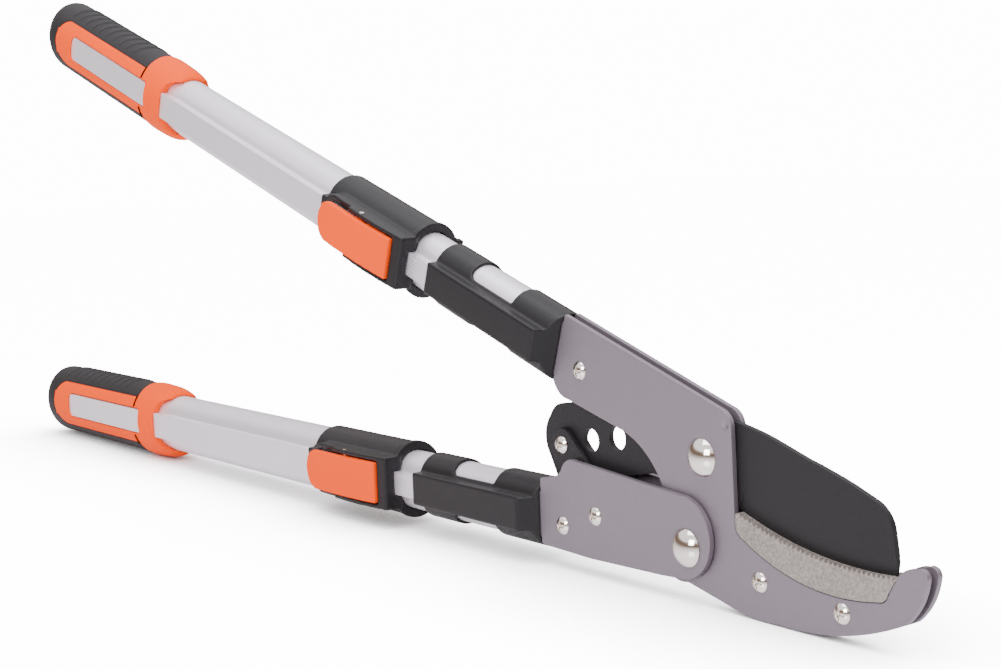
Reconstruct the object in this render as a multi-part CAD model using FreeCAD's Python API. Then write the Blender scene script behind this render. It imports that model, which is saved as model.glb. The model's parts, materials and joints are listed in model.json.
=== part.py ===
import FreeCAD, Part
import math
import os

from FreeCAD import Vector, Rotation, Placement

# Telescopic anvil loppers with a compound linkage, closed and retracted, standing on edge.
# +X runs along the tool towards the jaw, +Z is up, -Y is the side with the screw heads.
# The head is drawn in the XZ plane from the blade pivot. A handle is drawn from the end of
# its sleeve, with its own +x towards the jaw, and is then put in place.

# Layers of the head, measured in Y from the middle of the tool
BLADE_HALF = 1.1
JAW_IN, JAW_OUT = 1.5, 3.7
LINK_IN, LINK_OUT = 1.5, 3.6
LEVER_IN, LEVER_OUT = 4.2, 6.5
END_GAP = 0.1            # play between a turning plate and the part beside it

# Pivots and screws of the head
BLADE_PIVOT = (-0.5, 0.0)
LEVER_PIVOT = (-6.3, -32.4)
LINK_PIVOT = (-56.2, -28.7)
TAIL_PIVOT = (-78.7, -4.8)
ANVIL_SCREWS = ((26.8, -39.1), (63.7, -42.7))
UPPER_SCREW = (-66.4, 24.8)
LOWER_SCREW = (-75.8, -35.2)

BOLT_R, BOLT_HEAD_R, BOLT_HEAD_H = 4.0, 7.1, 3.8
BOLT_NUT_FLATS, BOLT_NUT_H, BOLT_TAIL = 13.0, 4.5, 5.6
SCREW_R, SCREW_HEAD_R, SCREW_HEAD_H = 2.0, 3.7, 1.9
SCREW_NUT_FLATS, SCREW_NUT_H, SCREW_TAIL = 7.0, 2.8, 3.4
FIT = 0.05               # gap around a fixed part
RUNNING = 0.06           # radial clearance of a pivot
LINK_HOLE_R = 4.6        # wide hole of the link on its pin
SPACER_R, WASHER_R = 6.4, 8.0
HEEL, MID_EDGE, EDGE_TIP = (15.8, -16.75), (50.8, -26.1), (84.2, -27.4)
BEVEL_WIDTH, BEVEL_LAND = 7.0, 0.25
LIGHTENING_HOLES = ((-63.8, -1.5, 4.4), (-48.5, 1.1, 4.6))

# Handles
UPPER_ORIGIN, UPPER_ANGLE = (-82.8, 33.94), 18.4
LOWER_ORIGIN = (-94.9, -32.7)
WALL = 1.2
INNER = (8.5, 4.1, 12.1, 4.9)    # lobe radius, lobe half straight, rib half width, rib half height
OUTER = (10.2, 4.5, 13.6, 6.4)
SLEEVE = (9.7, 4.1, 13.7, 6.8)
COLLAR = (11.9, 4.3, 15.2, 8.0)
MOUTH_BEAD, BEAD_LENGTH = (12.5, 4.3, 15.2, 8.5), 2.6
SLIDE_GAP = 0.3

SLEEVE_LEFT, UPPER_FRONT, LOWER_FRONT, RIB_FRONT = -73.4, 4.5, 5.7, -0.5
TUBE_START, TANG_LEFT = -10.0, -7.0
WINDOW_LEFT, WINDOW_RIGHT, WINDOW_Z, WINDOW_CORNER = -51.0, -22.0, 8.2, 3.5
INNER_END, PLUG_LENGTH, FLANGE, FLANGE_GAP = -444.0, 18.0, 5.0, 0.08
LOCK_FIRST, LOCK_PITCH, LOCK_COUNT, LOCK_HALF = -101.0, -70.0, 5, 4.0
OUTER_MOUTH, OUTER_END = -94.0, -453.0

COLLAR_LEFT, COLLAR_RIGHT, COLLAR_RIB_RIGHT = -156.5, -89.5, -88.8
POD_LEFT_CENTRE, POD_H, BUTTON_LEFT_CENTRE, POCKET_H, BUTTON_H = -144.3, 11.4, -142.6, 9.4, 8.9
POD_STEP, POD_LOW_Y, POCKET_FLOOR = -130.0, -16.2, -13.5
BUTTON_RIGHT, BUTTON_UNDER = -95.4, -17.35
PIN_X, PIN_Y, PIN_R, BOSS_R = -121.0, -16.6, 1.1, 2.4
FOOT = (-104.0, -98.0, 3.0, -12.45)      # left, right, half height, tip in Y

GRIP_SEAM, GRIP_CENTRE, GRIP_END = -344.0, -456.0, -474.8
GRIP_W, GRIP_H = 15.0, 19.1              # half axes of the grip's oval section
COLLAR_OVALS = ((-313.0, 14.1, 15.8), (-315.5, 14.6, 17.4), (-321.0, 15.0, 18.9),
                (-331.0, 15.1, 19.6), (-344.0, 15.05, 19.2))
NOTCH_LEFT, NOTCH_H, NOTCH_CORNER = -320.5, 13.6, 7.0
FRAME_R, FRAME_END, FRAME_DEPTH = 12.6, -452.0, 9.0
PANEL_LEFT, PANEL_RIGHT, PANEL_H, PANEL_CORNER = -432.5, -338.0, 7.0, 5.0


def upper(x, z):
    """Point of the upper handle in the plane of the head."""
    c, s = math.cos(math.radians(UPPER_ANGLE)), math.sin(math.radians(UPPER_ANGLE))
    return (UPPER_ORIGIN[0] + x * c + z * s, UPPER_ORIGIN[1] - x * s + z * c)


def lower(x, z):
    """Point of the lower handle in the plane of the head."""
    return (LOWER_ORIGIN[0] + x, LOWER_ORIGIN[1] + z)


# ---------------------------------------------------------------- small tools

def wire(start, steps, place):
    """Closed wire: a step is a point, or (via, end) for an arc. place maps a pair to a Vector."""
    edges, here = [], place(*start)
    for step in list(steps) + [start]:
        arc = isinstance(step[0], tuple)
        end = place(*(step[1] if arc else step))
        if arc:
            edges.append(Part.Arc(here, place(*step[0]), end).toShape())
        elif (end - here).Length > 1e-6:
            edges.append(Part.LineSegment(here, end).toShape())
        here = end
    return Part.Wire(edges)


def side_prism(start, *steps, y0=-30.0, y1=30.0):
    """Outline in the XZ plane, extruded in Y."""
    face = Part.Face(wire(start, steps, lambda x, z: Vector(x, y0, z)))
    return face.extrude(Vector(0, y1 - y0, 0))


def plan_prism(start, *steps, z0=-30.0, z1=30.0):
    """Outline in the XY plane, extruded in Z."""
    face = Part.Face(wire(start, steps, lambda x, y: Vector(x, y, z0)))
    return face.extrude(Vector(0, 0, z1 - z0))


def rod(x, z, radius, y0=-30.0, y1=30.0):
    """Round bar along Y."""
    return Part.makeCylinder(radius, y1 - y0, Vector(x, y0, z), Vector(0, 1, 0))


def box(x0, x1, y0, y1, z0, z1):
    return Part.makeBox(x1 - x0, y1 - y0, z1 - z0, Vector(x0, y0, z0))


def drilled(body, holes):
    """Cut round holes along Y: each hole is (x, z, radius)."""
    for x, z, radius in holes:
        body = body.cut(rod(x, z, radius))
    return body


def layer(side, inner, outer):
    """Y limits of a plate on one side of the tool."""
    low, high = sorted((side * inner, side * outer))
    return {"y0": low, "y1": high}


# ---------------------------------------------------------------- plates of the head

def jaw_plate(side):
    """Upper arm, pivot field and hook in one sheet, with the seat of the anvil."""
    sheet = side_prism(
        upper(UPPER_FRONT, 13.8), (9.0, 18.3), ((13.2, 15.6), (14.5, 11.0)),
        (15.4, -21.0), ((16.4, -24.0), (19.0, -25.8)), ((50.0, -36.8), (78.8, -36.2)), ((81.7, -35.3), (83.1, -33.1)),
        (86.2, -27.9), ((89.2, -24.4), (94.3, -22.9)), ((97.4, -22.9), (98.7, -26.2)),
        ((96.2, -33.6), (90.0, -41.2)), ((65.9, -49.6), (36.0, -52.1)),
        ((22.0, -52.0), (9.0, -49.6)), (-9.0, -45.6), ((-19.5, -43.0), (-23.0, -33.0)),
        (-21.0, -13.4), ((-28.9, -3.0), (-42.0, 4.7)), (-73.9, 13.2), ((-79.4, 15.4), upper(UPPER_FRONT, -12.9)),
        upper(UPPER_FRONT, -11.0), upper(TANG_LEFT, -11.0), upper(TANG_LEFT, 11.0), upper(UPPER_FRONT, 11.0),
        **layer(side, JAW_IN, JAW_OUT))
    holes = [(*BLADE_PIVOT, BOLT_R + FIT), (*LEVER_PIVOT, BOLT_R + FIT)]
    holes += [(*place, SCREW_R + FIT) for place in (UPPER_SCREW,) + ANVIL_SCREWS]
    return drilled(sheet, holes)


def anvil():
    """Cast anvil: wide pad on the plates and a tongue between them, held by two screws."""
    pad_y = JAW_OUT + 0.1
    pad = side_prism(
        (15.5, -17.0), ((51.0, -26.4), (86.2, -27.8)), (83.0, -33.0), ((81.6, -35.2), (78.8, -36.1)),
        ((50.0, -36.7), (19.0, -25.7)),
        ((16.5, -23.9), (15.5, -21.0)), y0=-pad_y, y1=pad_y)
    tongue = side_prism(
        (17.5, -25.4), ((46.0, -33.5), (79.0, -35.0)), (73.0, -42.5), ((66.0, -47.3), (55.0, -47.5)),
        ((38.0, -46.5), (20.0, -43.5)), ((16.0, -36.0), (17.5, -25.4)), y0=-JAW_IN, y1=JAW_IN)
    return drilled(pad.fuse(tongue).removeSplitter(), [(*place, SCREW_R + FIT) for place in ANVIL_SCREWS])


def edge_bevels():
    """Wedge rings that grind both sides of the cutting edge."""
    curve = Part.Arc(*(Vector(x, 0, z) for x, z in (EDGE_TIP, MID_EDGE, HEEL))).toShape().Curve
    centre, radius = curve.Center, curve.Radius
    start = math.degrees(math.atan2(HEEL[0] - 1.0 - centre.x, centre.z - HEEL[1]))
    end = math.degrees(math.atan2(EDGE_TIP[0] + 4.0 - centre.x, centre.z - EDGE_TIP[1]))
    rings = []
    for side in (1, -1):
        profile = [(BLADE_HALF, radius - BEVEL_WIDTH), (BLADE_HALF + 1, radius - BEVEL_WIDTH),
                   (BLADE_HALF + 1, radius + 2), (BEVEL_LAND, radius + 2), (BEVEL_LAND, radius)]
        corners = [centre + Vector(0, side * y, -r) for y, r in profile + profile[:1]]
        ring = Part.Face(Part.makePolygon(corners)).revolve(centre, Vector(0, -1, 0), end - start)
        ring.rotate(centre, Vector(0, -1, 0), start)
        rings.append(ring)
    return rings


def blade():
    """Blade and its tail in one sheet."""
    sheet = side_prism(
        (-66.0, 14.0), (4.0, 15.2), ((18.0, 13.2), (30.2, 10.4)), (47.1, 5.0), ((65.0, -0.3), (76.0, -4.5)),
        ((80.8, -8.1), (83.0, -13.0)), (84.6, -23.6), EDGE_TIP, (MID_EDGE, HEEL),
        (14.4, -16.3), ((2.5, -21.3), (-12.0, -17.9)), ((-19.0, -12.2), (-29.0, -9.6)),
        (-46.0, -13.0), ((-57.0, -19.5), (-70.0, -22.4)), (-79.0, -22.4), ((-83.0, -20.8), (-85.0, -17.5)),
        (-89.1, -10.0), ((-91.5, -1.2), (-88.2, 5.6)), ((-85.0, 9.4), (-80.4, 11.0)), (-76.7, 11.5), y0=-BLADE_HALF, y1=BLADE_HALF)
    holes = [(*BLADE_PIVOT, BOLT_R + RUNNING), (*TAIL_PIVOT, SCREW_R + FIT)]
    sheet = drilled(sheet, holes + list(LIGHTENING_HOLES))
    for ring in edge_bevels():
        sheet = sheet.cut(ring)
    return sheet


def link_plate(side):
    """Bar with a round eye at each end."""
    (ax, az), (bx, bz) = TAIL_PIVOT, LINK_PIVOT
    ra, rb = 6.6, 8.6
    turn = math.atan2(bz - az, bx - ax)
    lean = math.asin((ra - rb) / math.hypot(bx - ax, bz - az))
    rim = [(x + r * math.cos(a), z + r * math.sin(a)) for x, z, r, a in (
        (ax, az, ra, turn + math.pi / 2 - lean), (bx, bz, rb, turn + math.pi / 2 - lean),
        (bx, bz, rb, turn), (bx, bz, rb, turn - math.pi / 2 + lean),
        (ax, az, ra, turn - math.pi / 2 + lean), (ax, az, ra, turn + math.pi))]
    sheet = side_prism(rim[0], rim[1], (rim[2], rim[3]), rim[4], (rim[5], rim[0]),
                       **layer(side, LINK_IN, LINK_OUT))
    return drilled(sheet, [(*TAIL_PIVOT, SCREW_R + RUNNING), (*LINK_PIVOT, LINK_HOLE_R)])


def lever_plate(side):
    """Round end on the pivot, straight back, and a step down at the sleeve."""
    sheet = side_prism(
        lower(LOWER_FRONT, 14.2), (-80.3, -16.6), ((-77.5, -15.2), (-75.6, -12.7)),
        ((-72.6, -9.7), (-67.5, -9.2)), (-20.0, -13.0), ((-13.0, -13.5), (-6.9, -14.0)),
        ((5.7, -28.9), (-9.3, -44.0)), (-20.0, -44.6), (-58.7, -45.4), (-88.0, -44.6),
        lower(LOWER_FRONT, -11.2), lower(LOWER_FRONT, -9.0), lower(TANG_LEFT, -9.0),
        lower(TANG_LEFT, 9.0), lower(LOWER_FRONT, 9.0), **layer(side, LEVER_IN, LEVER_OUT))
    return drilled(sheet, [(*LEVER_PIVOT, BOLT_R + RUNNING), (*LINK_PIVOT, SCREW_R + FIT),
                           (*LOWER_SCREW, SCREW_R + FIT)])


# ---------------------------------------------------------------- fasteners

def domed(x, z, shank_r, head_r, head_h, y_head, y_end):
    """Domed bolt: the head stands on the plane y_head and the shank ends at y_end."""
    ball_r = (head_r ** 2 + head_h ** 2) / (2 * head_h)
    ball = Part.makeSphere(ball_r, Vector(x, y_head + ball_r - head_h, z))
    head = ball.common(rod(x, z, head_r + 1, y_head - head_h - 1, y_head))
    return rod(x, z, shank_r, y_head, y_end).fuse(head).removeSplitter()


def bolt(x, z, face):
    return domed(x, z, BOLT_R, BOLT_HEAD_R, BOLT_HEAD_H, -face, face + BOLT_TAIL)


def screw(x, z, face):
    """Small domed screw with a cross recess."""
    body = domed(x, z, SCREW_R, SCREW_HEAD_R, SCREW_HEAD_H, -face, face + SCREW_TAIL)
    top = -face - SCREW_HEAD_H
    for half_x, half_z in ((2.1, 0.4), (0.4, 2.1)):
        body = body.cut(box(x - half_x, x + half_x, top - 1, top + 1.1, z - half_z, z + half_z))
    return body


def bush(x, z, hole_r, outer_r, y0, y1):
    return rod(x, z, outer_r, y0, y1).cut(rod(x, z, hole_r))


def nut(x, z, hole_r, flats, y0, height):
    radius = flats / math.sqrt(3)
    corners = [Vector(x + radius * math.cos(math.radians(60 * k)), y0,
                      z + radius * math.sin(math.radians(60 * k))) for k in range(7)]
    blank = Part.Face(Part.makePolygon(corners)).extrude(Vector(0, height, 0))
    return blank.cut(rod(x, z, hole_r))


def bolt_nut(x, z, face):
    return nut(x, z, BOLT_R, BOLT_NUT_FLATS, face, BOLT_NUT_H)


def screw_nut(x, z, face):
    return nut(x, z, SCREW_R, SCREW_NUT_FLATS, face, SCREW_NUT_H)


def fasteners():
    """Bolts, screws, nuts, washers and the spacer of the head, by node name."""
    lever_face = LEVER_OUT + END_GAP
    parts = {
        "lever_spacer": bush(*LEVER_PIVOT, BOLT_R, SPACER_R, -JAW_IN, JAW_IN),
        "lever_washers": Part.makeCompound([
            bush(*LEVER_PIVOT, BOLT_R, WASHER_R, -LEVER_IN + END_GAP, -JAW_OUT),
            bush(*LEVER_PIVOT, BOLT_R, WASHER_R, JAW_OUT, LEVER_IN - END_GAP)]),
        "anvil_screws": Part.makeCompound([screw(*place, JAW_OUT) for place in ANVIL_SCREWS]),
        "anvil_nuts": Part.makeCompound([screw_nut(*place, JAW_OUT) for place in ANVIL_SCREWS]),
    }
    for name, place, face in (("blade_pivot", BLADE_PIVOT, JAW_OUT), ("lever_pivot", LEVER_PIVOT, lever_face)):
        parts[name + "_bolt"] = bolt(*place, face)
        parts[name + "_nut"] = bolt_nut(*place, face)
    for name, place, face in (
            ("upper_sleeve", UPPER_SCREW, JAW_OUT), ("lower_sleeve", LOWER_SCREW, LEVER_OUT),
            ("link_pivot", LINK_PIVOT, LEVER_OUT), ("tail_pivot", TAIL_PIVOT, LINK_OUT + END_GAP)):
        parts[name + "_screw"] = screw(*place, face)
        parts[name + "_nut"] = screw_nut(*place, face)
    return parts


# ---------------------------------------------------------------- handles, +x towards the jaw

def lobed(section, x0, x1, grow=0.0, rib_x1=None):
    """Bar along X: an upright oval with a flat rib on each side."""
    lobe_r, lobe_h, rib_y, rib_h = section
    lobe_r, rib_y, rib_h = lobe_r + grow, rib_y + grow, rib_h + grow
    face = Part.Face(wire(
        (-lobe_r, -lobe_h), [(-lobe_r, lobe_h), ((0, lobe_h + lobe_r), (lobe_r, lobe_h)),
                             (lobe_r, -lobe_h), ((0, -lobe_h - lobe_r), (-lobe_r, -lobe_h))],
        lambda y, z: Vector(x0, y, z)))
    oval = face.extrude(Vector(x1 - x0, 0, 0))
    return oval.fuse(box(x0, rib_x1 or x1, -rib_y, rib_y, -rib_h, rib_h)).removeSplitter()


def oval(x, half_y, half_z):
    """Upright ellipse across X."""
    return Part.Wire(Part.Ellipse(Vector(x, 0, half_z), Vector(x, half_y, 0), Vector(x, 0, 0)).toShape())


def stadium(left_centre, right, radius):
    """Side outline with a straight right end and a round left end, as arguments of side_prism."""
    return ((right, radius), (left_centre, radius), ((left_centre - radius, 0.0), (left_centre, -radius)),
            (right, -radius))


def left_rounded(left, right, h, corner):
    """Block along Y whose two left corners are round in the side view."""
    k = corner * (1 - math.sqrt(0.5))
    return side_prism(
        (right, h), (left + corner, h), ((left + k, h - k), (left, h - corner)),
        (left, corner - h), ((left + k, k - h), (left + corner, -h)), (right, -h))


def inner_tube():
    """Tube with a row of locking windows in its front rib."""
    tube = lobed(INNER, INNER_END, TUBE_START).cut(lobed(INNER, INNER_END - 1, TUBE_START + 1, -WALL))
    for k in range(LOCK_COUNT):
        x = LOCK_FIRST + k * LOCK_PITCH
        tube = tube.cut(box(x - LOCK_HALF, x + LOCK_HALF, -INNER[2] - 1, -INNER[2] + 2, -3.6, 3.6))
    return tube


def guide_bush():
    """Plastic glide plugged into the end of the inner tube; its flange runs in the outer tube."""
    plug = lobed(INNER, INNER_END, INNER_END + PLUG_LENGTH, -WALL - FIT)
    flange = lobed(OUTER, INNER_END - FLANGE, INNER_END, -WALL - FLANGE_GAP)
    bore = Part.makeCylinder(5.5, PLUG_LENGTH + FLANGE + 2, Vector(INNER_END - FLANGE - 1, 0, 0), Vector(1, 0, 0))
    return plug.fuse(flange).removeSplitter().cut(bore)


def sleeve(front, front_y, slot, tang_z, screw_at, tongue):
    """Sleeve that joins the inner tube to a pair of plates, with a tongue between them."""
    body = lobed(SLEEVE, SLEEVE_LEFT, front)
    for side in (1, -1):
        body = body.cut(plan_prism(
            (RIB_FRONT, side * 16.0), (RIB_FRONT, side * SLEEVE[2]), (front, side * front_y),
            (front + 3.0, side * front_y), (front + 3.0, side * 16.0)))
    body = body.fuse(tongue).removeSplitter()
    for side in (1, -1):
        y0, y1 = sorted((side * (slot[0] - FIT), side * (slot[1] + FIT)))
        body = body.cut(box(TANG_LEFT - FIT, front + 1, y0, y1, -tang_z - FIT, tang_z + FIT))
    body = body.cut(lobed(INNER, SLEEVE_LEFT - 1, TUBE_START, FIT))
    for side in (1, -1):
        z0, z1 = side * WINDOW_Z, side * 20.0
        k = WINDOW_CORNER * (1 - math.sqrt(0.5))
        body = body.cut(side_prism(
            (WINDOW_RIGHT, z0), (WINDOW_LEFT + WINDOW_CORNER, z0),
            ((WINDOW_LEFT + k, z0 + side * k), (WINDOW_LEFT, z0 + side * WINDOW_CORNER)),
            (WINDOW_LEFT, z1), (WINDOW_RIGHT, z1)))
    return body.cut(rod(*screw_at, SCREW_R + FIT))


def upper_sleeve():
    tongue = box(TANG_LEFT, 26.0, -JAW_IN + FIT, JAW_IN - FIT, -8.4, 9.5)
    c, s = math.cos(math.radians(UPPER_ANGLE)), math.sin(math.radians(UPPER_ANGLE))
    dx, dz = UPPER_SCREW[0] - UPPER_ORIGIN[0], UPPER_SCREW[1] - UPPER_ORIGIN[1]
    return sleeve(UPPER_FRONT, JAW_OUT + 0.2, (JAW_IN, JAW_OUT), 11.0, (dx * c - dz * s, dx * s + dz * c), tongue)


def lower_sleeve():
    """The tongue is forked at the top, where the tail of the blade comes down."""
    half = LEVER_IN - FIT
    tongue = side_prism(
        (TANG_LEFT, 9.0), (LOWER_FRONT - 0.5, 13.5), (15.0, 13.6), (17.5, 7.5), (25.0, 4.0), (25.0, -9.0),
        (TANG_LEFT, -9.0), y0=-half, y1=half)
    tongue = tongue.cut(box(LOWER_FRONT + 1, 30.0, -1.7, 1.7, 6.5, 20.0))
    dx, dz = LOWER_SCREW[0] - LOWER_ORIGIN[0], LOWER_SCREW[1] - LOWER_ORIGIN[1]
    return sleeve(LOWER_FRONT, LEVER_OUT + 0.2, (LEVER_IN, LEVER_OUT), 9.0, (dx, dz), tongue)


def outer_tube():
    """Tube with one window for the locking foot."""
    tube = lobed(OUTER, OUTER_END, OUTER_MOUTH).cut(lobed(OUTER, OUTER_END - 1, OUTER_MOUTH + 1, -WALL))
    left, right, half, _ = FOOT
    return tube.cut(box(left - 0.8, right + 0.8, -OUTER[2] - 1, -OUTER[2] + 2, -half - 0.6, half + 0.6))


def lock_housing():
    """Collar on the mouth of the outer tube, with the pod that carries the button."""
    body = lobed(COLLAR, COLLAR_LEFT, COLLAR_RIGHT, rib_x1=COLLAR_RIB_RIGHT)
    body = body.fuse(lobed(MOUTH_BEAD, COLLAR_RIGHT - BEAD_LENGTH, COLLAR_RIGHT, rib_x1=COLLAR_RIB_RIGHT))
    pod = side_prism(*stadium(POD_LEFT_CENTRE, COLLAR_RIB_RIGHT, POD_H), y0=-25.0, y1=-9.0)
    pod = pod.common(plan_prism(
        (COLLAR_RIB_RIGHT, -8.0), (COLLAR_RIB_RIGHT, -16.9), ((-108.0, -18.4), (POD_STEP, -18.0)),
        (POD_STEP, POD_LOW_Y), ((-144.0, -15.9), (-158.0, -14.4)), (-158.0, -8.0)))
    body = body.fuse(pod).removeSplitter()
    pocket = side_prism(*stadium(BUTTON_LEFT_CENTRE, BUTTON_RIGHT + 0.5, POCKET_H), y0=-25.0, y1=POCKET_FLOOR)
    body = body.cut(pocket)
    body = body.cut(lobed(OUTER, COLLAR_LEFT - 1, OUTER_MOUTH, FIT))
    body = body.cut(lobed(INNER, OUTER_MOUTH - 1, COLLAR_RIGHT + 1, SLIDE_GAP))
    return body.cut(Part.makeCylinder(PIN_R + FIT, 40, Vector(PIN_X, PIN_Y, -20)))


def button_pin():
    return Part.makeCylinder(PIN_R, 2 * POD_H + 0.4, Vector(PIN_X, PIN_Y, -POD_H - 0.2))


def release_button():
    """Rocker with a hinge barrel and the foot that drops into the tube."""
    body = side_prism(*stadium(BUTTON_LEFT_CENTRE, BUTTON_RIGHT, BUTTON_H), y0=-25.0, y1=-9.0)
    body = body.common(plan_prism(
        (BUTTON_RIGHT, -18.8), ((-124.0, -20.4), (-154.0, -19.0)), (-154.0, BUTTON_UNDER),
        (-115.0, BUTTON_UNDER), (-115.0, -16.4), (BUTTON_RIGHT, -16.4)))
    barrel = Part.makeCylinder(BOSS_R, 2 * BUTTON_H, Vector(PIN_X, PIN_Y, -BUTTON_H))
    left, right, half, tip = FOOT
    body = body.fuse([barrel, box(left, right, -17.5, tip, -half, half)]).removeSplitter()
    return body.cut(Part.makeCylinder(PIN_R + RUNNING, 40, Vector(PIN_X, PIN_Y, -20)))


def tube_hollow():
    """Room that the outer tube takes inside the grip."""
    return lobed(OUTER, OUTER_END - FIT, COLLAR_OVALS[0][0] + 1, FIT)


def side_frame(side, grow=0.0):
    """Field on one side of the grip where the hard core comes to the surface."""
    return side_prism(*stadium(FRAME_END + FRAME_R, GRIP_SEAM + 2.0, FRAME_R + grow),
                      **layer(side, FRAME_DEPTH - grow, 30.0))


def grip_bar(x1):
    """Oval bar with a round end, turned at unit size and stretched."""
    length = GRIP_CENTRE - GRIP_END
    profile = wire((-1.0, 0.0), [((-math.sqrt(0.5), math.sqrt(0.5)), (0.0, 1.0)),
                                 ((x1 - GRIP_CENTRE) / length, 1.0), ((x1 - GRIP_CENTRE) / length, 0.0)],
                   lambda x, z: Vector(x, 0, z))
    unit = Part.Face(profile).revolve(Vector(), Vector(1, 0, 0), 360)
    return unit.transformGeometry(FreeCAD.Matrix(length, 0, 0, GRIP_CENTRE, 0, GRIP_W, 0, 0, 0, 0, GRIP_H, 0))


def grip_core():
    """Hard core: a flared collar with a round notch on each side, and two side frames."""
    body = Part.makeLoft([oval(*row) for row in COLLAR_OVALS], True, False)
    body = body.cut(left_rounded(NOTCH_LEFT, COLLAR_OVALS[0][0] + 5.0, NOTCH_H, NOTCH_CORNER))
    bar = grip_bar(GRIP_SEAM + 1.0)
    body = body.fuse([bar.common(side_frame(side)) for side in (1, -1)]).removeSplitter()
    body = body.cut(left_rounded(PANEL_LEFT, PANEL_RIGHT, PANEL_H, PANEL_CORNER))
    return body.cut(tube_hollow())


def grip_rubber():
    """Soft cover over the top, the bottom and the end of the core."""
    bar = grip_bar(GRIP_SEAM - FIT)
    for side in (1, -1):
        bar = bar.cut(side_frame(side, FIT))
    return bar.cut(tube_hollow())


# ---------------------------------------------------------------- build

def build():
    parts = {"anvil": anvil(), "blade": blade()}
    for name, side in (("front", -1), ("back", 1)):
        parts["jaw_plate_" + name] = jaw_plate(side)
        parts["link_plate_" + name] = link_plate(side)
        parts["lever_plate_" + name] = lever_plate(side)
    parts.update(fasteners())
    makers = {"inner_tube": inner_tube, "guide_bush": guide_bush, "outer_tube": outer_tube,
              "lock_housing": lock_housing, "button_pin": button_pin, "release_button": release_button,
              "grip_core": grip_core, "grip_rubber": grip_rubber}
    for handle, origin, angle, own_sleeve in (
            ("upper_", UPPER_ORIGIN, UPPER_ANGLE, upper_sleeve), ("lower_", LOWER_ORIGIN, 0.0, lower_sleeve)):
        place = Placement(Vector(origin[0], 0, origin[1]), Rotation(Vector(0, 1, 0), angle))
        for name, make in {"sleeve": own_sleeve, **makers}.items():
            shape = make()
            shape.Placement = place.multiply(shape.Placement)
            parts[handle + name] = shape
    return parts


def main():
    parts = build()
    boxes = [shape.optimalBoundingBox(False) for shape in parts.values()]
    middle_x = (min(b.XMin for b in boxes) + max(b.XMax for b in boxes)) / 2
    middle_y = (min(b.YMin for b in boxes) + max(b.YMax for b in boxes)) / 2
    shift = Vector(-middle_x, -middle_y, -min(b.ZMin for b in boxes))
    print("the blade pivot lies at", shift)
    os.makedirs("parts", exist_ok=True)
    for name, shape in parts.items():
        shape.translate(shift)
        shape.exportStep("parts/" + name + ".step")
        print(name, round(shape.Volume, 1), len(shape.Solids), shape.isValid())


main()
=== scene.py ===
import bpy
import json
import math
from mathutils import Matrix, Vector


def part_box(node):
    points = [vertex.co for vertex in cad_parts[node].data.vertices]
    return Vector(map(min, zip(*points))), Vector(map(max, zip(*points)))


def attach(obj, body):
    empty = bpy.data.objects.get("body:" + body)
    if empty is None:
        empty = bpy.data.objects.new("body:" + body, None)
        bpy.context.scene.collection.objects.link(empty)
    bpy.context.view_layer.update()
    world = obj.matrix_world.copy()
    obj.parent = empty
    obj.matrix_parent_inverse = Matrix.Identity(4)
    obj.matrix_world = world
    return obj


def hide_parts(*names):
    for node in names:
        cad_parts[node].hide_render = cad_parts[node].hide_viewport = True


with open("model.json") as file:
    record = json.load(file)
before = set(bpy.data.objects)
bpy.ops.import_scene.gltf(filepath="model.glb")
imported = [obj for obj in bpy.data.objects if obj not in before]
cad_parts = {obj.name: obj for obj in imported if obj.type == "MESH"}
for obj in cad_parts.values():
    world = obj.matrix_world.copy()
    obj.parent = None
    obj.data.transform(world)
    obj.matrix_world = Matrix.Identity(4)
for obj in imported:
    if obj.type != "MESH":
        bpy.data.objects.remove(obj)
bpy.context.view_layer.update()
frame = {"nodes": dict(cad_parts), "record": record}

nodes = frame["nodes"]
MM = 0.001

# Place of the blade pivot, from which the head is laid out, in millimetres
_low, _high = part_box("blade_pivot_bolt")
PIVOT = Vector(((_low[0] + _high[0]) / 2 / MM, 0.0, (_low[2] + _high[2]) / 2 / MM))
_low, _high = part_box("blade")
PIVOT.y = (_low[1] + _high[1]) / 2 / MM


# ---------------------------------------------------------------- materials

# Grain: broad clouds under the fine noise, their share in the sum, and the middle of that sum
BROAD_SCALE, BROAD_SHARE, GRAIN_MIDDLE = 18.0, 0.35, 0.675
RELIEF_HEIGHT = 0.0002
GRAIN_INPUTS = (
    ("Color", "NodeSocketColor", (0.5, 0.5, 0.5, 1)),
    ("Roughness", "NodeSocketFloat", 0.5),
    ("Scale", "NodeSocketFloat", 800.0),
    ("Stretch", "NodeSocketVector", (1, 1, 1)),
    ("Tint", "NodeSocketFloat", 0.1),
    ("Rough Range", "NodeSocketFloat", 0.1),
    ("Relief", "NodeSocketFloat", 0.1))
GRAIN_OUTPUTS = (
    ("Color", "NodeSocketColor"), ("Roughness", "NodeSocketFloat"), ("Normal", "NodeSocketVector"))


def principled(name, color, roughness, metallic=0.0, **sockets):
    """New material with constant values on its own shader."""
    mat = bpy.data.materials.new(name)
    mat.use_nodes = True
    shader = mat.node_tree.nodes["Principled BSDF"]
    shader.inputs["Base Color"].default_value = (*color, 1.0)
    shader.inputs["Roughness"].default_value = roughness
    shader.inputs["Metallic"].default_value = metallic
    for key, value in sockets.items():
        shader.inputs[key.replace("_", " ")].default_value = value
    return mat


def add_node(tree, kind, inputs=(), **attributes):
    """New node with its settings and the values of its free sockets."""
    node = tree.nodes.new(kind)
    for key, value in attributes.items():
        setattr(node, key, value)
    for key, value in dict(inputs).items():
        node.inputs[key].default_value = value
    return node


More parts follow.
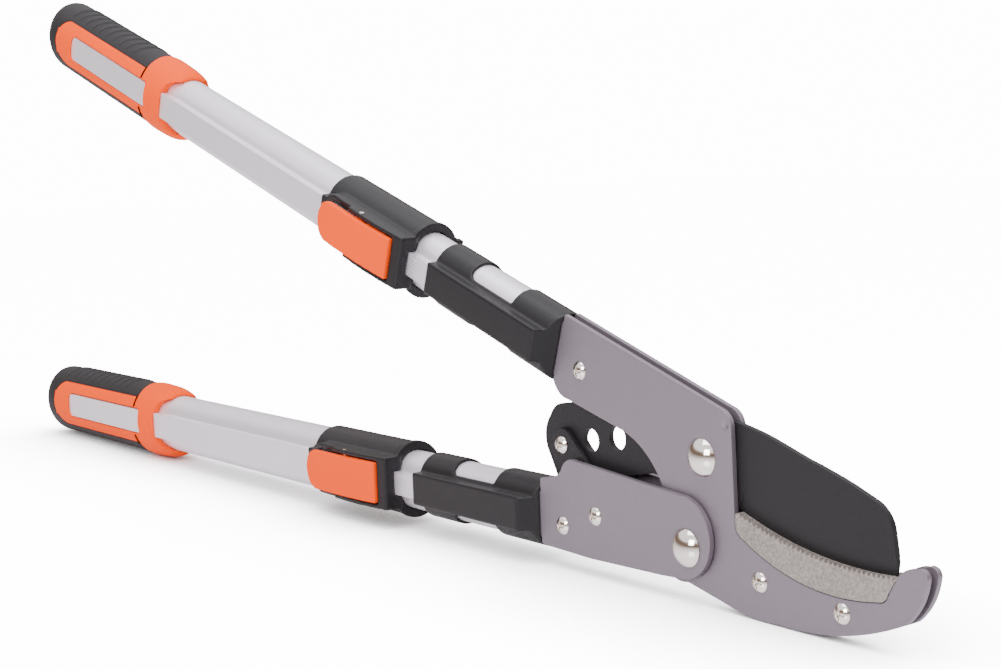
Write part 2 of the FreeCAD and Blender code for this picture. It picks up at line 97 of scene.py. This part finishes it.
def grain_group():
    """Fine grain that varies colour and roughness a little and lifts the surface."""
    group = bpy.data.node_groups.new("surface_grain", "ShaderNodeTree")
    for name, kind, default in GRAIN_INPUTS:
        socket = group.interface.new_socket(name, in_out="INPUT", socket_type=kind)
        socket.default_value = default
    for name, kind in GRAIN_OUTPUTS:
        group.interface.new_socket(name, in_out="OUTPUT", socket_type=kind)
    link = group.links.new
    feed = add_node(group, "NodeGroupInput")
    out = add_node(group, "NodeGroupOutput")
    place = add_node(group, "ShaderNodeTexCoord")
    stretch = add_node(group, "ShaderNodeVectorMath", operation="MULTIPLY")
    noise = add_node(group, "ShaderNodeTexNoise", {"Detail": 3.0, "Roughness": 0.6})
    broad = add_node(group, "ShaderNodeTexNoise", {"Scale": BROAD_SCALE, "Detail": 2.0})
    link(place.outputs["Object"], stretch.inputs[0])
    link(feed.outputs["Stretch"], stretch.inputs[1])
    link(stretch.outputs[0], noise.inputs["Vector"])
    link(place.outputs["Object"], broad.inputs["Vector"])
    link(feed.outputs["Scale"], noise.inputs["Scale"])
    # sum of the two noises, centred on nothing
    mixed = add_node(group, "ShaderNodeMath", operation="ADD")
    share = add_node(group, "ShaderNodeMath", {1: BROAD_SHARE}, operation="MULTIPLY")
    link(broad.outputs[0], share.inputs[0])
    link(noise.outputs[0], mixed.inputs[0])
    link(share.outputs[0], mixed.inputs[1])
    centred = add_node(group, "ShaderNodeMath", {1: GRAIN_MIDDLE}, operation="SUBTRACT")
    link(mixed.outputs[0], centred.inputs[0])
    # colour
    tint = add_node(group, "ShaderNodeMath", operation="MULTIPLY")
    link(centred.outputs[0], tint.inputs[0])
    link(feed.outputs["Tint"], tint.inputs[1])
    gain = add_node(group, "ShaderNodeMath", {1: 1.0}, operation="ADD")
    link(tint.outputs[0], gain.inputs[0])
    color = add_node(group, "ShaderNodeVectorMath", operation="SCALE")
    link(feed.outputs["Color"], color.inputs[0])
    link(gain.outputs[0], color.inputs["Scale"])
    link(color.outputs[0], out.inputs["Color"])
    # roughness and relief
    rough = add_node(group, "ShaderNodeMath", operation="MULTIPLY_ADD")
    link(centred.outputs[0], rough.inputs[0])
    link(feed.outputs["Rough Range"], rough.inputs[1])
    link(feed.outputs["Roughness"], rough.inputs[2])
    link(rough.outputs[0], out.inputs["Roughness"])
    bump = add_node(group, "ShaderNodeBump", {"Distance": RELIEF_HEIGHT})
    link(feed.outputs["Relief"], bump.inputs["Strength"])
    link(noise.outputs[0], bump.inputs["Height"])
    link(bump.outputs[0], out.inputs["Normal"])
    return group


GRAIN = grain_group()


def finish(name, color, roughness, metallic=0.0, scale=800.0, tint=0.1, relief=0.1, **sockets):
    """Material whose colour, roughness and relief vary through the grain group."""
    mat = principled(name, color, roughness, metallic, **sockets)
    tree = mat.node_tree
    grain = tree.nodes.new("ShaderNodeGroup")
    grain.node_tree = GRAIN
    for key, value in (("Color", (*color, 1.0)), ("Roughness", roughness), ("Scale", scale),
                       ("Tint", tint), ("Relief", relief)):
        grain.inputs[key].default_value = value
    shader = tree.nodes["Principled BSDF"]
    for key, socket in (("Color", "Base Color"), ("Roughness", "Roughness"), ("Normal", "Normal")):
        tree.links.new(grain.outputs[key], shader.inputs[socket])
    return mat


MATERIALS = {
    "plate_grey": finish("satin_plate", (0.235, 0.2, 0.235), 0.42, 0.6,
                         scale=2500, tint=0.2, relief=0.15),
    "blade_black": finish("blade_coating", (0.012, 0.0105, 0.0125), 0.5,
                          scale=1800, tint=0.3, relief=0.1, Specular_IOR_Level=0.3),
    "anvil_grey": finish("cast_anvil", (0.33, 0.29, 0.27), 0.6, 0.45,
                         scale=1100, tint=1.5, relief=0.8),
    "fastener_bright": finish("plated_fastener", (0.85, 0.79, 0.74), 0.1, 1.0,
                              scale=600, tint=0.1, relief=0.02),
    "steel": finish("plain_steel", (0.5, 0.5, 0.52), 0.35, 1.0),
    "tube_silver": finish("anodised_tube", (0.86, 0.81, 0.88), 0.42, 0.6,
                          scale=900, tint=0.05, relief=0.03),
    "plastic_black": finish("black_plastic", (0.008, 0.007, 0.0085), 0.42,
                            scale=3000, tint=0.2, relief=0.1, Specular_IOR_Level=0.3),
    "plastic_orange": finish("orange_plastic", (1.0, 0.08, 0.0), 0.6,
                             scale=2500, tint=0.05, relief=0.03, Specular_IOR_Level=0.06),
    "rubber_dark": finish("grip_rubber", (0.014, 0.0125, 0.014), 0.6,
                          scale=2500, tint=0.2, relief=0.15, Specular_IOR_Level=0.3),
}
SLOT_OF = {row["node"]: row["material_slot"] for row in frame["record"]["subparts"]}
BODY_OF = {name: body for body, names in frame["record"]["behaviour"]["bodies"].items()
           for name in names}
for node_name, node in nodes.items():
    node.data.materials.clear()
    node.data.materials.append(MATERIALS[SLOT_OF[node_name]])


# ---------------------------------------------------------------- modelling

EDGE_ANGLE, SMOOTH_ANGLE, RIB_SMOOTH_ANGLE = 30.0, 38.0, 40.0    # degrees
WELD_DISTANCE, FLAT_ANGLE = 0.002, 1.5                           # millimetres, degrees
FACE_WEIGHT, SKIN_FACTOR = 100, 0.5


def pick(obj):
    """Only this object is selected and active."""
    bpy.ops.object.select_all(action="DESELECT")
    obj.select_set(True)
    bpy.context.view_layer.objects.active = obj


def copy_of(master):
    """Copy of an object, with its own mesh."""
    copy = master.copy()
    copy.data = master.data.copy()
    bpy.context.collection.objects.link(copy)
    return copy


def select_faces(obj, test):
    """In edit mode, select the faces whose centre passes the test."""
    bpy.ops.mesh.select_mode(type="FACE")
    bpy.ops.mesh.select_all(action="DESELECT")
    bpy.ops.object.mode_set(mode="OBJECT")
    for face in obj.data.polygons:
        face.select = test(face.center)
    bpy.ops.object.mode_set(mode="EDIT")


def bevelled(obj, width, segments):
    """Round the sharp edges, and shade so that the flat faces stay flat."""
    pick(obj)
    edge = obj.modifiers.new("edge", "BEVEL")
    edge.width, edge.segments = width * MM, segments
    edge.limit_method, edge.angle_limit = "ANGLE", math.radians(EDGE_ANGLE)
    edge.use_clamp_overlap = False       # or the shortest edge would limit all the others
    bpy.ops.object.modifier_apply(modifier=edge.name)
    bpy.ops.object.shade_smooth_by_angle(angle=math.radians(SMOOTH_ANGLE))
    flat = obj.modifiers.new("flat", "WEIGHTED_NORMAL")
    flat.mode, flat.weight, flat.keep_sharp = "FACE_AREA", FACE_WEIGHT, True
    bpy.ops.object.modifier_apply(modifier=flat.name)


def moulded(obj, cell, passes):
    """Even skin with softly rounded edges and fillets, as of a moulded plastic piece."""
    pick(obj)
    skin = obj.modifiers.new("skin", "REMESH")
    skin.mode, skin.voxel_size, skin.use_smooth_shade = "VOXEL", cell * MM, True
    bpy.ops.object.modifier_apply(modifier=skin.name)
    soft = obj.modifiers.new("soft", "SMOOTH")
    soft.factor, soft.iterations = SKIN_FACTOR, passes
    bpy.ops.object.modifier_apply(modifier=soft.name)
    bpy.ops.object.shade_smooth()


def in_place(obj):
    """Put the object's place, turn and size into its mesh."""
    pick(obj)
    bpy.ops.object.transform_apply(location=True, rotation=True, scale=True)


def settle(obj, name, body, slot):
    """Name, body, slot and finish of a piece whose place is in its mesh."""
    obj.name = obj.data.name = name
    obj.data.materials.clear()
    obj.data.materials.append(MATERIALS[slot])
    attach(obj, body)


# ---------------------------------------------------------------- nodes with soft edges

# The dent near the upper corner of one plate, from the blade pivot, in millimetres
DIMPLED_NODE, DIMPLE_AT, DIMPLE_R, DIMPLE_DEPTH = "jaw_plate_front", (12.2, 12.9), 2.4, 0.7


def dimple(obj):
    """Small round dent in the outer face of a plate."""
    face = min(v.co.y for v in obj.data.vertices)
    centre = (PIVOT + Vector((DIMPLE_AT[0], 0, DIMPLE_AT[1]))) * MM
    centre.y = face - (DIMPLE_R - DIMPLE_DEPTH) * MM
    bpy.ops.object.select_all(action="DESELECT")
    bpy.ops.mesh.primitive_uv_sphere_add(
        segments=32, ring_count=16, radius=DIMPLE_R * MM, location=centre)
    ball = bpy.context.object
    pick(obj)
    dent = obj.modifiers.new("dent", "BOOLEAN")
    dent.operation, dent.solver, dent.object = "DIFFERENCE", "EXACT", ball
    bpy.ops.object.modifier_apply(modifier=dent.name)
    bpy.data.objects.remove(ball)


def softened(node_name, shape, how):
    """A copy of the node, shaped by bevelled or moulded, that stands for the node."""
    obj = bpy.data.objects.new(node_name + "_soft", nodes[node_name].data.copy())
    bpy.context.collection.objects.link(obj)
    pick(obj)
    bpy.ops.mesh.customdata_custom_splitnormals_clear()
    bpy.ops.object.mode_set(mode="EDIT")
    bpy.ops.mesh.select_all(action="SELECT")
    bpy.ops.mesh.remove_doubles(threshold=WELD_DISTANCE * MM)
    bpy.ops.mesh.dissolve_limited(angle_limit=math.radians(FLAT_ANGLE))
    bpy.ops.object.mode_set(mode="OBJECT")
    if node_name == DIMPLED_NODE:
        dimple(obj)
    shape(obj, *how)
    settle(obj, node_name + "_soft", BODY_OF[node_name], SLOT_OF[node_name])
    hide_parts(node_name)


# By the ending of the node's name: radius of the edges in millimetres and steps of the bevel
EDGES = {
    "plate_front": (0.35, 2), "plate_back": (0.35, 2), "blade": (0.12, 2), "anvil": (0.5, 2),
    "_bolt": (0.3, 2), "_screw": (0.15, 2), "_screws": (0.15, 2), "_nut": (0.3, 2),
    "_nuts": (0.3, 2), "outer_tube": (0.25, 2), "grip_core": (0.7, 3), "grip_rubber": (0.5, 2)}
# and cell of the skin in millimetres and passes of smoothing
SKINS = {"_sleeve": (0.45, 8), "lock_housing": (0.45, 7), "release_button": (0.35, 10)}


def soften_all():
    for node_name in sorted(nodes):
        for shape, table in ((bevelled, EDGES), (moulded, SKINS)):
            for ending, how in table.items():
                if node_name.endswith(ending):
                    softened(node_name, shape, how)


# ---------------------------------------------------------------- added pieces

# Handles, from the blade pivot: end of the sleeve, and fall of the axis to the jaw in degrees
HANDLES = {"upper": ((-82.3, 33.94), 18.4), "lower": ((-94.4, -32.7), 0.0)}
TUBE_BODY = {"upper": "upper_tube", "lower": "lower_tube"}
INNER_BODY = {"upper": "head", "lower": "lever"}


def handle_matrix(handle):
    (x, z), fall = HANDLES[handle]
    return (Matrix.Translation((PIVOT + Vector((x, 0.0, z))) * MM)
            @ Matrix.Rotation(math.radians(fall), 4, "Y") @ Matrix.Scale(MM, 4))


def on_handles(master, name, bodies, slot):
    """Copy a piece modelled in a handle's own millimetres to both handles."""
    for handle in HANDLES:
        copy = copy_of(master)
        copy.matrix_world = handle_matrix(handle)
        in_place(copy)
        settle(copy, handle + "_" + name, bodies[handle], slot)
    bpy.data.objects.remove(master)


def row_of(master, places):
    """Copies of a master shifted to each place, joined into one object."""
    copies = []
    for place in places:
        copy = copy_of(master)
        copy.location = place
        copies.append(copy)
    bpy.data.objects.remove(master)
    bpy.ops.object.select_all(action="DESELECT")
    for copy in copies:
        copy.select_set(True)
    bpy.context.view_layer.objects.active = copies[0]
    bpy.ops.object.join()
    joined = bpy.context.object
    in_place(joined)
    return joined


def block(*dimensions):
    """Block of these dimensions round the origin."""
    bpy.ops.object.select_all(action="DESELECT")
    bpy.ops.mesh.primitive_cube_add(size=1.0)
    obj = bpy.context.object
    obj.dimensions = dimensions
    in_place(obj)
    return obj


GRIP_W, GRIP_H = 15.0, 19.1                     # half axes of the grip's oval section
RIB_COUNT, RIB_FIRST, RIB_PITCH, RIB_TURN = 10, -362.0, -8.6, 24.0
RIB_R, RIB_SUNK, RIB_BREADTH, RIB_REACH = 1.3, 0.5, 1.5, 0.8


def grip_ribs():
    """Slanted raised ribs across the top of the rubber."""
    bpy.ops.object.select_all(action="DESELECT")
    bpy.ops.mesh.primitive_torus_add(
        major_radius=GRIP_H - RIB_SUNK, minor_radius=RIB_R, major_segments=72,
        minor_segments=12, rotation=(0, math.pi / 2, 0))
    rib = bpy.context.object
    in_place(rib)
    bpy.ops.object.mode_set(mode="EDIT")
    bpy.ops.mesh.select_all(action="SELECT")
    bpy.ops.mesh.bisect(
        plane_co=(0, 0, GRIP_H * RIB_REACH), plane_no=(0, 0, 1), clear_inner=True, use_fill=True)
    bpy.ops.mesh.select_all(action="SELECT")
    bpy.ops.transform.resize(
        value=(RIB_BREADTH, GRIP_W / GRIP_H, 1.0), center_override=(0, 0, 0))
    bpy.ops.transform.rotate(
        value=math.radians(RIB_TURN), orient_axis="Z", center_override=(0, 0, 0))
    bpy.ops.object.mode_set(mode="OBJECT")
    bpy.ops.object.shade_smooth_by_angle(angle=math.radians(RIB_SMOOTH_ANGLE))
    ribs = row_of(rib, [(RIB_FIRST + k * RIB_PITCH, 0, 0) for k in range(RIB_COUNT)])
    on_handles(ribs, "grip_ribs", TUBE_BODY, "rubber_dark")


FLUTE_COUNT, FLUTE_PITCH, FLUTE_START, FLUTE_END = 5, 1.55, -360.0, -73.0
FLUTE_DEPTH, FLUTE_BREADTH, FLUTE_TAPER = 0.36, 0.75, 0.35
FLUTE_SIDE = 0.17                               # faces beyond this are the two crests
RIB_FACE = 12.1                                 # flat ribs of the inner tube, from its axis


def flutes():
    """Fine lengthwise ridges on both flat ribs of the inner tube."""
    ridge = block(FLUTE_END - FLUTE_START, FLUTE_DEPTH, FLUTE_BREADTH)
    bpy.ops.object.mode_set(mode="EDIT")
    select_faces(ridge, lambda c: abs(c.y) > FLUTE_SIDE)
    bpy.ops.transform.resize(value=(1, 1, FLUTE_TAPER), center_override=(0, 0, 0))
    bpy.ops.object.mode_set(mode="OBJECT")
    middle = (FLUTE_START + FLUTE_END) / 2
    reach = (FLUTE_COUNT - 1) / 2
    rows = row_of(ridge, [(middle, side * RIB_FACE, (k - reach) * FLUTE_PITCH)
                          for side in (1, -1) for k in range(FLUTE_COUNT)])
    on_handles(rows, "tube_flutes", INNER_BODY, "tube_silver")


TEETH, TOOTH_Y, TOOTH_LIFT = 34, 2.75, 0.05
TOOTH, TOOTH_TAPER, TOOTH_CREST = (1.95, 2.0, 1.9), (0.15, 0.9, 1), 0.7
TOOTH_ARC = ((16.4, -17.4), (51.0, -26.4), (85.4, -27.7))
HEAD_SHIFT = 0.5                                # from the blade pivot to the head's own origin


def anvil_teeth():
    """Serrations across the top of the anvil, on both sides of the blade."""
    start, middle, end = (Vector(point) for point in TOOTH_ARC)
    tooth = block(*TOOTH)
    bpy.ops.object.mode_set(mode="EDIT")
    select_faces(tooth, lambda c: c.z > TOOTH_CREST)
    bpy.ops.transform.resize(value=TOOTH_TAPER, center_override=(0, 0, TOOTH[2] / 2))
    bpy.ops.object.mode_set(mode="OBJECT")
    places = []
    for side in (1, -1):
        for k in range(TEETH):
            t = (k + 0.5) / TEETH
            here = (start * (1 - t) * (1 - 2 * t) + middle * 4 * t * (1 - t)
                    + end * t * (2 * t - 1))
            places.append((here.x, side * TOOTH_Y, here.y + TOOTH_LIFT))
    teeth = row_of(tooth, places)
    teeth.matrix_world = (Matrix.Translation((PIVOT + Vector((HEAD_SHIFT, 0, 0))) * MM)
                          @ Matrix.Scale(MM, 4))
    in_place(teeth)
    settle(teeth, "anvil_teeth", "head", "anvil_grey")


soften_all()
grip_ribs()
flutes()
anvil_teeth()


# ---------------------------------------------------------------- studio

FLOOR_SIZE, FLOOR_DROP = 8.0, 0.0003            # metres
FLOOR_COLOR, FLOOR_ROUGHNESS = (0.93, 0.92, 0.94), 0.14
FLOOR_GLOW, SKY_GLOW = 14.0, 15.0
# reach in metres, steepness and samples of the painted contact shade that dims the floor's glow
PAINTED_SHADE_REACH, PAINTED_SHADE_POWER, PAINTED_SHADE_SAMPLES = 0.085, 2.6, 8
SKY_FROM, SKY_TO = -0.2, 0.9                    # heights at the two ends of the ramp
SKY_STOPS = (
    (0.0, (1.0, 0.98, 1.0, 1)), (0.2, (0.75, 0.7, 0.68, 1)), (0.34, (0.22, 0.15, 0.11, 1)),
    (0.5, (0.3, 0.22, 0.17, 1)), (0.62, (1.5, 1.48, 1.52, 1)))
MIX_FACTOR, MIX_A, MIX_B, MIX_RESULT = 0, 6, 7, 2       # colour sockets of the mix node
# name, place, aim, size in metres, power in watts
LIGHTS = (
    ("top_softbox", (0.1, -0.2, 1.6), (0.0, 0.0, 0.0), 1.2, 22.0),
    ("front_softbox", (0.9, -1.5, 0.9), (0.1, 0.0, 0.05), 0.8, 26.0))


def camera_only(tree, strength):
    """Value that holds for what the camera sees directly, and is nothing elsewhere."""
    path = tree.nodes.new("ShaderNodeLightPath")
    gain = add_node(tree, "ShaderNodeMath", {1: strength}, operation="MULTIPLY")
    tree.links.new(path.outputs["Is Camera Ray"], gain.inputs[0])
    return gain.outputs[0]


def floor_material():
    """Pale floor that glows for the camera, with painted contact shade: the glow is less close
    under the tool.
    """
    mat = principled("studio_floor", FLOOR_COLOR, FLOOR_ROUGHNESS, Specular_IOR_Level=0.5)
    tree = mat.node_tree
    shader = tree.nodes["Principled BSDF"]
    shader.inputs["Emission Color"].default_value = (0.985, 0.97, 1.0, 1.0)
    # painted contact shade: ambient occlusion dims the floor's glow close under the tool, standing
    # in for a shadow
    painted_shade = add_node(
        tree, "ShaderNodeAmbientOcclusion", {"Distance": PAINTED_SHADE_REACH}, samples=PAINTED_SHADE_SAMPLES)
    deep = add_node(tree, "ShaderNodeMath", {1: PAINTED_SHADE_POWER}, operation="POWER")
    glow = add_node(tree, "ShaderNodeMath", operation="MULTIPLY")
    tree.links.new(painted_shade.outputs["AO"], deep.inputs[0])
    tree.links.new(deep.outputs[0], glow.inputs[0])
    tree.links.new(camera_only(tree, FLOOR_GLOW), glow.inputs[1])
    tree.links.new(glow.outputs[0], shader.inputs["Emission Strength"])
    return mat


def sky():
    """Even pale background; its dark warm band low down only shows in reflections."""
    world = bpy.context.scene.world or bpy.data.worlds.new("studio")
    bpy.context.scene.world = world
    world.use_nodes = True
    tree = world.node_tree
    back = tree.nodes["Background"]
    place = tree.nodes.new("ShaderNodeTexCoord")
    split = tree.nodes.new("ShaderNodeSeparateXYZ")
    tree.links.new(place.outputs["Generated"], split.inputs[0])
    band = add_node(tree, "ShaderNodeMapRange", {
        "From Min": SKY_FROM, "From Max": SKY_TO, "To Min": 0.0, "To Max": 1.0})
    tree.links.new(split.outputs["Z"], band.inputs["Value"])
    ramp = tree.nodes.new("ShaderNodeValToRGB")
    while len(ramp.color_ramp.elements) < len(SKY_STOPS):
        ramp.color_ramp.elements.new(0.5)
    for element, (position, color) in zip(ramp.color_ramp.elements, SKY_STOPS):
        element.position, element.color = position, color
    tree.links.new(band.outputs[0], ramp.inputs[0])
    mix = tree.nodes.new("ShaderNodeMix")
    mix.data_type = "RGBA"
    path = tree.nodes.new("ShaderNodeLightPath")
    tree.links.new(path.outputs["Is Camera Ray"], mix.inputs[MIX_FACTOR])
    tree.links.new(ramp.outputs[0], mix.inputs[MIX_A])
    mix.inputs[MIX_B].default_value = (0.985 * SKY_GLOW, 0.97 * SKY_GLOW, SKY_GLOW, 1.0)
    tree.links.new(mix.outputs[MIX_RESULT], back.inputs["Color"])
    back.inputs["Strength"].default_value = 1.0


def studio():
    bpy.ops.object.select_all(action="DESELECT")
    bpy.ops.mesh.primitive_plane_add(size=FLOOR_SIZE, location=(0, 0, -FLOOR_DROP))
    floor = bpy.context.object
    floor.name = "studio_floor"
    floor.data.materials.append(floor_material())
    sky()
    for name, place, aim, size, power in LIGHTS:
        light = bpy.data.lights.new(name, "AREA")
        light.size, light.energy = size, power
        lamp = bpy.data.objects.new(name, light)
        bpy.context.collection.objects.link(lamp)
        lamp.location = place
        toward = Vector(aim) - Vector(place)
        lamp.rotation_euler = toward.to_track_quat("-Z", "Y").to_euler()


YAW, PITCH, ROLL = 53.674, 6.301, -2.011        # degrees, from a level view along +Y
EYE = (450.54, -419.39, 112.72)                 # from the blade pivot, in millimetres
SENSOR, LENS, CLIP_START, CLIP_END = 36.0, 64.15, 0.01, 50.0


def camera():
    yaw, pitch, roll = (math.radians(a) for a in (YAW, PITCH, ROLL))
    view = Vector((-math.sin(yaw) * math.cos(pitch), math.cos(yaw) * math.cos(pitch),
                   -math.sin(pitch)))
    level = Vector((math.cos(yaw), math.sin(yaw), 0.0))
    rise = level.cross(view)
    right = math.cos(roll) * level + math.sin(roll) * rise
    up = -math.sin(roll) * level + math.cos(roll) * rise
    data = bpy.data.cameras.new("camera")
    data.sensor_width, data.lens = SENSOR, LENS
    data.clip_start, data.clip_end = CLIP_START, CLIP_END
    shot = bpy.data.objects.new("camera", data)
    bpy.context.collection.objects.link(shot)
    turn = Matrix((right, up, -view)).transposed().to_4x4()
    shot.matrix_world = Matrix.Translation((PIVOT + Vector(EYE)) * MM) @ turn
    bpy.context.scene.camera = shot


studio()
camera()
